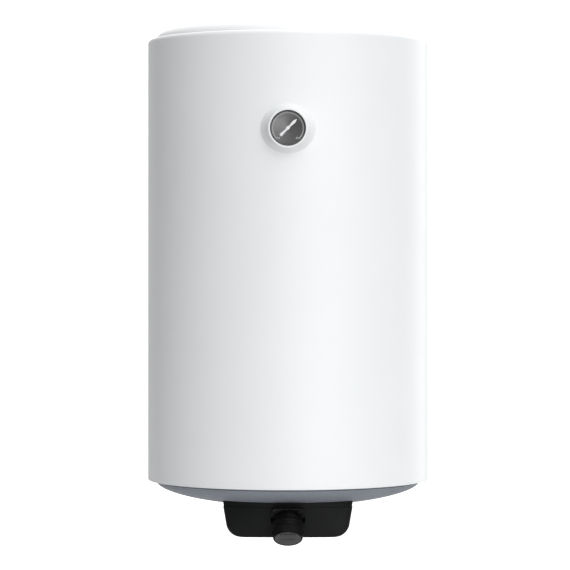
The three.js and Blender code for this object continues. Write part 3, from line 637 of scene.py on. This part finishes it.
def cap_profile(edge, way, steps=40):
    """A cap's outside from its middle to its brim, way +1 up and -1 down."""
    points = []
    for i in range(steps + 1):
        r = CAP_R * math.sin(math.pi / 2 * i / steps) ** (2 / CAP_POWER)
        points.append((r if i else 0.0, edge + way * cap_drop(r)))
    return points


def make_caps():
    for name, edge, way, material, node in (
        ("upper_dome", SHELL_TOP, 1, "white_plastic", "top_cap"),
        ("lower_dome", SHELL_BOTTOM, -1, "grey_plastic", "bottom_cap"),
    ):
        outside = cap_profile(edge, way)
        brim = edge - way * BRIM_GAP
        under = brim - way * BRIM_T
        inside = [(max(0.0, r - CAP_T), z - way * CAP_T) for r, z in reversed(outside[1:-2])]
        middle = outside[0][1] - way * CAP_T
        if way < 0:  # a narrow shadow groove where the lower cap goes into the shell
            outside = [p for p in outside if p[1] < edge - 3.2]
            outside += [(CAP_R - 0.9, edge - 3.0), (CAP_R - 1.5, edge - 2.6), (CAP_R - 1.8, edge - 2.3),
                        (CAP_R - 1.8, edge)]
        profile = [*outside, (CAP_R, brim), (BRIM_R, brim), (BRIM_R, under), (CAP_R - CAP_T, under), *inside,
                   (0, middle)]
        dome = loose(name, moved(lathe(profile, 192), TANK))
        if way < 0:
            for x in (-PIPE_X, PIPE_X):
                port = prism(circle(PORT_R, 48), -640, -560)
                combine(dome, moved(port, Matrix.Translation((x, PIPE_Y, 0))))
            combine(dome, moved(prism(circle(OPENING_R, 96), -640, -560), TANK))
        dress(dome, material, nodes=[node], sharp=38)


# ---- cover of the electrical parts ----
COVER_REF = -590.0  # level at which the next two are measured
COVER_HALF, COVER_FRONT = 102.6, 166.0  # half width, and how far the front stands before the tank's axis
SIDE_DRAFT, FRONT_DRAFT = 0.176, 0.28  # inwards for each millimetre downwards
BOW_LOW, BOW_HIGH, BOW_AT = 3.0, 16.0, 75.0  # how far the front bows back this far from its middle
COVER_BACK = 80.0
CORNER_R = 12.0  # of the upright corners
FLOOR_R, FLOOR_EDGE_R = 18.5, 3.2  # the sides, and the front and back, turn into the floor on these radii
STEP_Z = -597.8  # a small step goes round the cover here, level with the nose's top
NOSE_HALF, NOSE_LONG, NOSE_BACK = 28.5, 46, 110
WELL_R = 28.0  # of the round well that the knob stands in
SCREWS = [(-62, 60), (62, 60), (-55, -105), (55, -105)]  # X, and Y from the tank's axis
SEAT_Z = -618  # the screws' heads sit at this level
knob_joint = JOINTS["knob_turn"]
KNOB_OUT = -Vector(knob_joint["axis"]).normalized()
KNOB_AT = Vector(knob_joint["pos_m"]) * 1000
KNOB = Matrix.Translation(KNOB_AT) @ Matrix(
    [(1, 0, 0, 0), (0, KNOB_OUT.z, KNOB_OUT.y, 0), (0, -KNOB_OUT.y, KNOB_OUT.z, 0), (0, 0, 0, 1)])


def tuck(radius, rise):
    """How far a wall that turns into the floor on a radius has come in, at a height above the floor."""
    return radius - math.sqrt(max(0.0, radius**2 - (radius - rise) ** 2)) if rise < radius else 0.0


def cover_ring(z, inset=0.0):
    """The cover's plan at one level, round the tank's axis, with the front at -Y."""
    rise = z - COVER_BOTTOM
    edge_tuck = tuck(FLOOR_EDGE_R, rise)
    half = COVER_HALF + (z - COVER_REF) * SIDE_DRAFT - inset - tuck(FLOOR_R, rise)
    front = COVER_FRONT + (z - COVER_REF) * FRONT_DRAFT - edge_tuck
    back = COVER_BACK - inset - edge_tuck
    bow = BOW_LOW + (BOW_HIGH - BOW_LOW) * rise / (COVER_REF - COVER_BOTTOM)
    curve = (BOW_AT**2 + bow**2) / (2 * bow)
    r = CORNER_R - inset
    cx = half - r
    hub = curve - front
    cy = hub - math.sqrt((curve - CORNER_R) ** 2 - cx**2)
    spread = math.atan2(cx, hub - cy)

    def bend(x, y, radius, start, stop, steps):
        angles = (start + (stop - start) * i / steps for i in range(steps + 1))
        return [(x + radius * math.sin(a), y - radius * math.cos(a)) for a in angles]

    points = [
        *bend(0, hub, curve - inset, -spread, spread, 36),
        *bend(cx, cy, r, spread, math.pi / 2, 9)[1:],
        *bend(cx, back - r, r, math.pi / 2, math.pi, 9),
        *bend(-cx, back - r, r, math.pi, 1.5 * math.pi, 9),
        *bend(-cx, cy, r, 1.5 * math.pi, 2 * math.pi - spread, 9)[:-1],
    ]
    return [(x, y + AXIS_Y, z) for x, y in points]


def nose():
    """The block on the cover's front that carries the knob: a flat top, and a front across the knob's axis."""
    out, up = -KNOB_OUT.y, -KNOB_OUT.z
    forward, level = -(KNOB_AT.y - AXIS_Y), KNOB_AT.z
    tip = forward + (STEP_Z - level) / out * up
    foot = STEP_Z - NOSE_LONG * out
    bm = prism([(tip, STEP_Z), (tip - NOSE_LONG * up, foot), (NOSE_BACK, foot), (NOSE_BACK, STEP_Z)],
               -NOSE_HALF, NOSE_HALF)
    moved(bm, Matrix([(0, 0, 1, 0), (-1, 0, 0, AXIS_Y), (0, 1, 0, 0), (0, 0, 0, 1)]))
    for v in bm.verts:  # a little narrower towards the front
        v.co.x *= 1 - 0.16 * max(0.0, min(1.0, (AXIS_Y - 140 - v.co.y) / 30))
    soften(bm, 2.4, 4)
    return bm


def make_cover():
    floor_levels = (0.0, 0.15, 0.6, 1.4, 2.4, 3.4, 5, 7.5, 10.5, 14, 17, 18.7)
    wall_levels = ((-610, 0), (STEP_Z - 0.9, 0), (STEP_Z - 0.3, 0.15), (STEP_Z, 0.5), (STEP_Z + 0.25, 0.9),
                   (STEP_Z + 1, 1.0), (-590, 1.0), (-580, 1.0))
    rings = [cover_ring(COVER_BOTTOM + rise) for rise in floor_levels]
    rings += [cover_ring(z, inset) for z, inset in wall_levels]
    cover = loose("cover_moulding", stack(rings))
    combine(cover, nose(), "UNION")
    well = lathe(fillet([(0, 0), (WELL_R - 0.8, 0, 1.0), (WELL_R, 90), (0, 90)]), 96)
    combine(cover, moved(well, KNOB))
    for x, y in SCREWS:
        hole = lathe(fillet([(0, SEAT_Z), (4.7, SEAT_Z, 0.6), (4.7, COVER_BOTTOM + 0.8, 0.8),
                             (6.2, COVER_BOTTOM - 1), (0, COVER_BOTTOM - 1)]), 40)
        combine(cover, moved(hole, Matrix.Translation((x, y + AXIS_Y, 0))))
    # A blank recess in the floor, where a plate would go.
    recess = prism(rounded(35, 32, 5), COVER_BOTTOM - 5, COVER_BOTTOM + 1.2)
    combine(cover, moved(recess, Matrix.Translation((0, AXIS_Y + 11, 0))))
    dress(cover, "black_plastic", nodes=["control_cover"], sharp=30)


def cross_screw(r, height, recess=0.52):
    """A pan-head screw's head with a cross recess, its flat side at z=0 and its crown at +z."""
    head = loose("head", lathe(fillet([(0, 0), (r, 0, 0.3), (r, height * 0.55, height * 0.4),
                                       (r * 0.55, height), (0, height)]), 40))
    for turn in (0, math.pi / 2):
        arm = brick(-r * recess, r * recess, -r * 0.13, r * 0.13, height * 0.35, height + 1)
        combine(head, moved(arm, Matrix.Rotation(turn, 4, "Z")))
    bm = bmesh.new()
    bm.from_mesh(head.data)
    bpy.data.objects.remove(head)
    return moved(bm, Matrix.Scale(1 / MM, 4))


def make_cover_screws():
    for i, (x, y) in enumerate(SCREWS):
        head = moved(cross_screw(4.2, 2.7), Matrix.Rotation(math.pi, 4, "X"))
        moved(head, Matrix.Translation((0, 0, SEAT_Z - 0.3)))
        shank = prism(circle(2, 24), SEAT_Z - 0.6, box(f"cover_screw_{i + 1}")[1].z)
        bm = joined(head, shank)
        moved(bm, Matrix.Translation((x, y + AXIS_Y, 0)) @ Matrix.Rotation(0.5 + i, 4, "Z"))
        piece(f"cover_screw_head_{i + 1}", bm, "zinc", nodes=[f"cover_screw_{i + 1}"])


# ---- knob ----
FACE = 39.5  # from the pad that the knob stands on to its face
SKIRT = FACE - 21.9  # level of the flared ribs round the knob's foot
GRIP_RIBS, GRIP_DEPTH = 60, 0.32
INLAY = FACE - 1.3  # back of the grey disc in the knob's face


def grip(a, r, z):
    """Fine ribs round the knob's straight part."""
    if r < 22.5 or z < SKIRT + 8.2 or z > FACE - 1.3:
        return r
    return r - GRIP_DEPTH * (0.5 - 0.5 * math.cos(GRIP_RIBS * a)) ** 2


def make_knob():
    collar = fillet([
        (8, 0.3), (20.4, 0.3, 0.4), (20.4, 5.0, 0.5), (21.2, 6.2, 0.5), (20.4, 7.5, 0.5), (22.1, 9.0, 0.5),
        (21.3, 10.3, 0.5), (23.4, 12.0, 0.5), (23.4, 13.2, 0.4), (8, 13.2), (8, 0.3)], 5)
    piece("knob_bellows", moved(lathe(collar[:-1], 96), KNOB), "knob_black", nodes=["knob_collar"])

    body = fillet([
        (0, FACE - 1.6), (20.8, FACE - 1.6, 0.2), (20.8, FACE, 0.4), (21.9, FACE, 0.6),
        (22.9, FACE - 1.2, 0.6), (24.3, SKIRT + 8.4, 0.5), (23.7, SKIRT + 7.6, 0.4), (24.5, SKIRT + 6.6, 0.5),
        (25.1, SKIRT + 4.0, 0.5), (24.5, SKIRT + 3.2, 0.4), (25.5, SKIRT + 2.2, 0.5), (26.1, SKIRT - 0.6, 1.0),
        (25.8, SKIRT - 3.2, 0.6), (23.6, SKIRT - 3.5, 0.4), (22, FACE - 4.4, 1), (6.5, FACE - 4.4, 1),
        (6.5, 17.8), (0, 17.8)], 4)
    piece("knob_grip", moved(lathe(body, 360, grip), KNOB), "knob_black", "knob", ["knob_body"])

    disc = fillet([(0, INLAY), (20.4, INLAY, 0.1), (20.4, INLAY + 1.15, 0.35), (18.6, INLAY + 1.15, 0.3),
                   (18.2, INLAY + 0.75, 0.3), (0, INLAY + 0.75)])
    piece("knob_inlay", moved(lathe(disc, 128), KNOB), "knob_grey", "knob", ["knob_face"])
    pad = loose("knob_pad", prism(rounded(12.2, 14.8, 2.8), INLAY + 0.78, INLAY + 1.9, 0.5))
    combine(pad, brick(-10.4, 10.4, -0.5, 0.5, INLAY + 1.5, INLAY + 3))
    pad.data.transform(metres(KNOB))
    dress(pad, "knob_pad", "knob", ["knob_face"])


# ---- dial thermometer ----
GAUGE_Z = JOINTS["needle_turn"]["pos_m"][2] * 1000
GAUGE = Matrix.Translation((0, AXIS_Y - SHELL_R, GAUGE_Z)) @ Matrix.Rotation(math.pi / 2, 4, "X")
STANDS = -(box("gauge_housing")[0].y - (AXIS_Y - SHELL_R))  # how far the housing stands off the shell
DIAL = STANDS - 5
POINTER = DIAL + 0.9
SCALE_START, SCALE_STOP = -42, 222  # degrees
TICKS, LONG_TICK = 23, 3  # every third one is long


def printed(name, bm, material):
    """A thin mark on the dial plate."""
    piece(name, moved(bm, GAUGE), material)


def number(name, text, x, y):
    """A number printed on the dial."""
    curve = bpy.data.curves.new(name, "FONT")
    curve.body = text
    curve.size = 4.3
    curve.offset = 0.05
    curve.space_character = 1.35
    curve.extrude = 0.035
    curve.align_x = "CENTER"
    source = bpy.data.objects.new(name + "_outline", curve)
    bpy.context.collection.objects.link(source)
    data = evaluated(source)
    bpy.data.objects.remove(source)
    bm = bmesh.new()
    bm.from_mesh(data)
    moved(bm, GAUGE @ Matrix.Translation((x, y, DIAL + 0.06)))
    piece(name, bm, "scale_print")


def make_gauge():
    base = fillet([
        (28.4, -5), (43.6, -5), (38.0, 0, 3), (34.2, 5.2, 4), (31.3, 12.2, 3), (30.3, STANDS - 1.6, 1),
        (30.1, STANDS, 0.9), (27.7, STANDS, 0.4), (27.3, STANDS - 0.8, 0.15), (28.3, STANDS - 0.8),
        (28.3, STANDS - 5.2)], 6)
    piece("gauge_boss", moved(lathe(base, 128), GAUGE), "white_plastic", nodes=["gauge_housing"])
    glass = fillet([(0, STANDS - 2.6), (28.15, STANDS - 2.6, 0.1), (28.15, STANDS - 1.1, 0.3),
                    (0, STANDS - 1.0)])
    piece("gauge_window", moved(lathe(glass, 96), GAUGE), "glass", nodes=["gauge_lens"])
    spacer = fillet([(25.4, DIAL + 0.1), (27.9, DIAL + 0.1), (27.9, STANDS - 2.7), (27.5, STANDS - 2.7, 0.2)])
    piece("gauge_spacer", moved(lathe(spacer, 128), GAUGE), "dark_plastic")
    dish = fillet([(1.6, DIAL - 1), (27.6, DIAL - 1), (27.6, DIAL + 0.25, 0.2), (27.0, DIAL + 0.25, 0.2),
                   (26.4, DIAL, 0.2), (1.6, DIAL)])
    piece("gauge_plate", moved(lathe(dish, 128), GAUGE), "dial_grey", nodes=["gauge_dial"])

    band = ring_strip(22.9, 24.7, SCALE_START, SCALE_STOP, DIAL + 0.02, DIAL + 0.06)
    printed("gauge_band", band, "scale_band")
    marks = [ring_strip(22.7, 23.2, SCALE_START, SCALE_STOP, DIAL + 0.04, DIAL + 0.09)]
    step = (SCALE_STOP - SCALE_START) / (TICKS - 1)
    for i in range(TICKS):
        end, half = (25.2, 0.17) if i % LONG_TICK == 0 else (24.2, 0.1)
        bar = brick(22.9, end, -half, half, DIAL + 0.04, DIAL + 0.09)
        marks.append(moved(bar, Matrix.Rotation(math.radians(SCALE_STOP - step * i), 4, "Z")))
    printed("gauge_scale", joined(*marks), "scale_print")
    for text, x in (("20", -14.6), ("80", 14.6)):
        number(f"gauge_number_{text}", text, x, -16.7)

    z = POINTER
    half = [(19.4, 0.0), (17.2, 1.1), (14.8, 2.1), (13.2, 2.3), (9.0, 1.85), (4.4, 1.35), (3.0, 1.6),
            (1.6, 2.35), (0.0, 2.55), (-1.6, 2.35), (-3.0, 1.6), (-4.4, 1.35), (-10.0, 1.85), (-15.4, 2.4),
            (-16.4, 1.9)]
    leaf = half + [(x, -y) for x, y in reversed(half[1:])]
    pointer = moved(prism(leaf, z, z + 0.6, 0.12, 2), Matrix.Rotation(math.pi / 4, 4, "Z"))
    piece("gauge_pointer", moved(pointer, GAUGE), "needle_white", "needle", ["gauge_needle"])
    hub = fillet([(0, DIAL - 7), (0.5, DIAL - 7), (0.5, z + 0.62), (1.5, z + 0.62, 0.1), (1.5, z + 0.95, 0.2),
                  (0.6, z + 1.25, 0.2), (0, z + 1.25)])
    piece("gauge_hub", moved(lathe(hub, 40), GAUGE), "needle_white", "needle", ["gauge_arbor"])


# ---- water connections ----
THREAD_R, THREAD_CORE_R, PITCH = 10.48, 9.3, 1.814  # a G 1/2 thread
THREAD_LONG = 17.5
ROWS_PER_TURN = 8
THREAD_MARK = 9.4  # radius that stands for the thread in a pipe end's profile
BORE_R, NECK_OUT_R = 7.5, 10.3


def thread(low, high):
    """Gives the threaded part's surface from low to high as a radius for each angle and level."""

    def radius(a, z):
        turn = (z / PITCH + a / (2 * math.pi)) % 1.0
        crest = min(1.0, max(0.0, 1.6 * (1 - abs(2 * turn - 1)) - 0.3))
        fade = min(1.0, (z - low) / 1.6, (high - z) / 1.2)
        return THREAD_CORE_R + (THREAD_R - THREAD_CORE_R) * crest * max(0.0, fade)

    return lambda a, r, z: radius(a, z) if abs(r - THREAD_MARK) < 1e-6 and z <= high else r


def make_connections():
    for word, colour in (("cold", "blue_plastic"), ("hot", "red_plastic")):
        low, high = box(f"{word}_nipple")
        centre = (low + high) / 2
        mouth, top = low.z, low.z + THREAD_LONG
        rows = int((top - mouth) / PITCH * ROWS_PER_TURN)
        levels = [mouth + (top - mouth) * i / rows for i in range(1, rows + 1)]
        profile = [(BORE_R, mouth), (9.0, mouth), *((THREAD_MARK, z) for z in levels),
                   (NECK_OUT_R, top + 0.7), (NECK_OUT_R, high.z), (BORE_R, high.z)]
        place = Matrix.Translation((centre.x, centre.y, 0))
        end = lathe(profile, 72, thread(mouth, top))
        piece(f"{word}_pipe_end", moved(end, place), "zinc", nodes=[f"{word}_nipple"])
        ring = fillet([(10.8, -606), (17.0, -606, 0.9), (18.0, -604.2, 0.9), (18.0, -590), (10.8, -590)], 5)
        piece(f"{word}_ring", moved(lathe(ring, 96), place), colour, nodes=[f"{word}_collar"])


# ---- cable gland ----
GLAND_R, CABLE_R = 11, 3.7  # across the nut's corners, and of the hole for the cable


def fluted(a, r, z):
    """Finger flutes round the gland's cap."""
    return r - (0.35 * (0.5 - 0.5 * math.cos(24 * a)) if r > 8.5 and z < 12 else 0)


def make_gland():
    low, high = box("cable_gland")
    nut = loose("gland_body", prism(circle(GLAND_R, 6), 0.3, 6, 0.5))
    cap = fillet([(CABLE_R, 5), (9, 5, 0.3), (9, 12, 2.0), (7.4, 17.2, 1.5), (5.6, 18, 0.8), (CABLE_R, 18, 0.5),
                  (CABLE_R, 5)])
    combine(nut, lathe(cap[:-1], 64, fluted), "UNION")
    combine(nut, lathe([(0, -10), (7.5, -10), (7.5, 1), (0, 1)], 48), "UNION")
    combine(nut, lathe([(0, -12), (CABLE_R, -12), (CABLE_R, 19), (0, 19)], 48))
    back = Matrix.Translation((0, AXIS_Y + COVER_BACK, (low.z + high.z) / 2))
    nut.data.transform(metres(back @ Matrix.Rotation(-math.pi / 2, 4, "X")))
    dress(nut, "rubber", nodes=["cable_gland"])


make_shell()
make_caps()
make_cover()
make_cover_screws()
make_knob()
make_gauge()
make_connections()
make_gland()
make_hanger()
make_spacers()

# ---- stage and light ----
FLOOR_Z = COVER_BOTTOM - 760
FLOOR_RADIUS = 3600
FLOOR_FADE = (1.6, 3.5)  # metres from the middle where the floor starts to fade, and where it is gone
SOFTBOXES = [  # direction in degrees from the front towards +X, half width in degrees, strength
    (25, 50, 1.6),
    (142, 38, 1.33),
    (180, 16, 1.2),
    (200, 36, 0.42),
]
BASE_LIGHT = 0.19  # from every direction
OVERHEAD = 0.46  # added straight above, fading to none at the horizon
HIGHER = 0.7  # how fast the base light and the boxes grow with height


def make_stage():
    """A pale round floor far below the heater, which fades out at its edge and isn't there from beneath."""
    bm = bmesh.new()
    bmesh.ops.create_circle(bm, cap_ends=True, radius=FLOOR_RADIUS, segments=128)
    floor = loose("floor", moved(bm, Matrix.Translation((0, AXIS_Y, FLOOR_Z))))
    n = Nodes("floor")
    n.set(Base_Color=n.tint(n.spread(n.noise(2, 3), 0, 1), (0.62, 0.62, 0.62), (0.6, 0.6, 0.6)))
    n.set(Roughness=0.8)
    away = n.vector("DISTANCE", n.where, (0, AXIS_Y * MM, FLOOR_Z * MM))
    fade = n.spread(away, 1, 0, *FLOOR_FADE)
    above = n.math("SUBTRACT", 1, n.new("NewGeometry").outputs["Backfacing"])
    n.set(Alpha=n.math("MULTIPLY", fade, above))
    floor.data.materials.append(n.mat)


def make_light():
    """A soft studio: even light all round, wide boxes at the front right and behind, more light above."""
    world = bpy.data.worlds.new("studio")
    bpy.context.scene.world = world
    world.use_nodes = True
    n = Tree(world.node_tree)
    where = n.new("TexCoord").outputs["Generated"]
    level = n.vector("NORMALIZE", n.vector("MULTIPLY", where, (1, 1, 0)))
    total = BASE_LIGHT
    for angle, width, strength in SOFTBOXES:
        a = math.radians(angle)
        towards = n.vector("DOT_PRODUCT", level, (math.sin(a), -math.cos(a), 0))
        inside = n.spread(towards, 0, 1, math.cos(math.radians(width)), 1)
        total = n.math("MULTIPLY_ADD", n.math("POWER", inside, 2), strength, total)
    (z,) = n.split(where, "Z")
    rise = n.spread(z, 1 - 0.6 * HIGHER, 1 + 0.6 * HIGHER, -0.6, 0.6)
    tilted = n.math("MULTIPLY", total, rise)
    sky = n.math("MULTIPLY_ADD", n.spread(z, 0, 1, 0, 1), OVERHEAD, tilted)
    background = n.tree.nodes["Background"]
    n.put(sky, background.inputs["Strength"])
    n.put((1, 1, 1), background.inputs["Color"])


make_stage()
make_light()
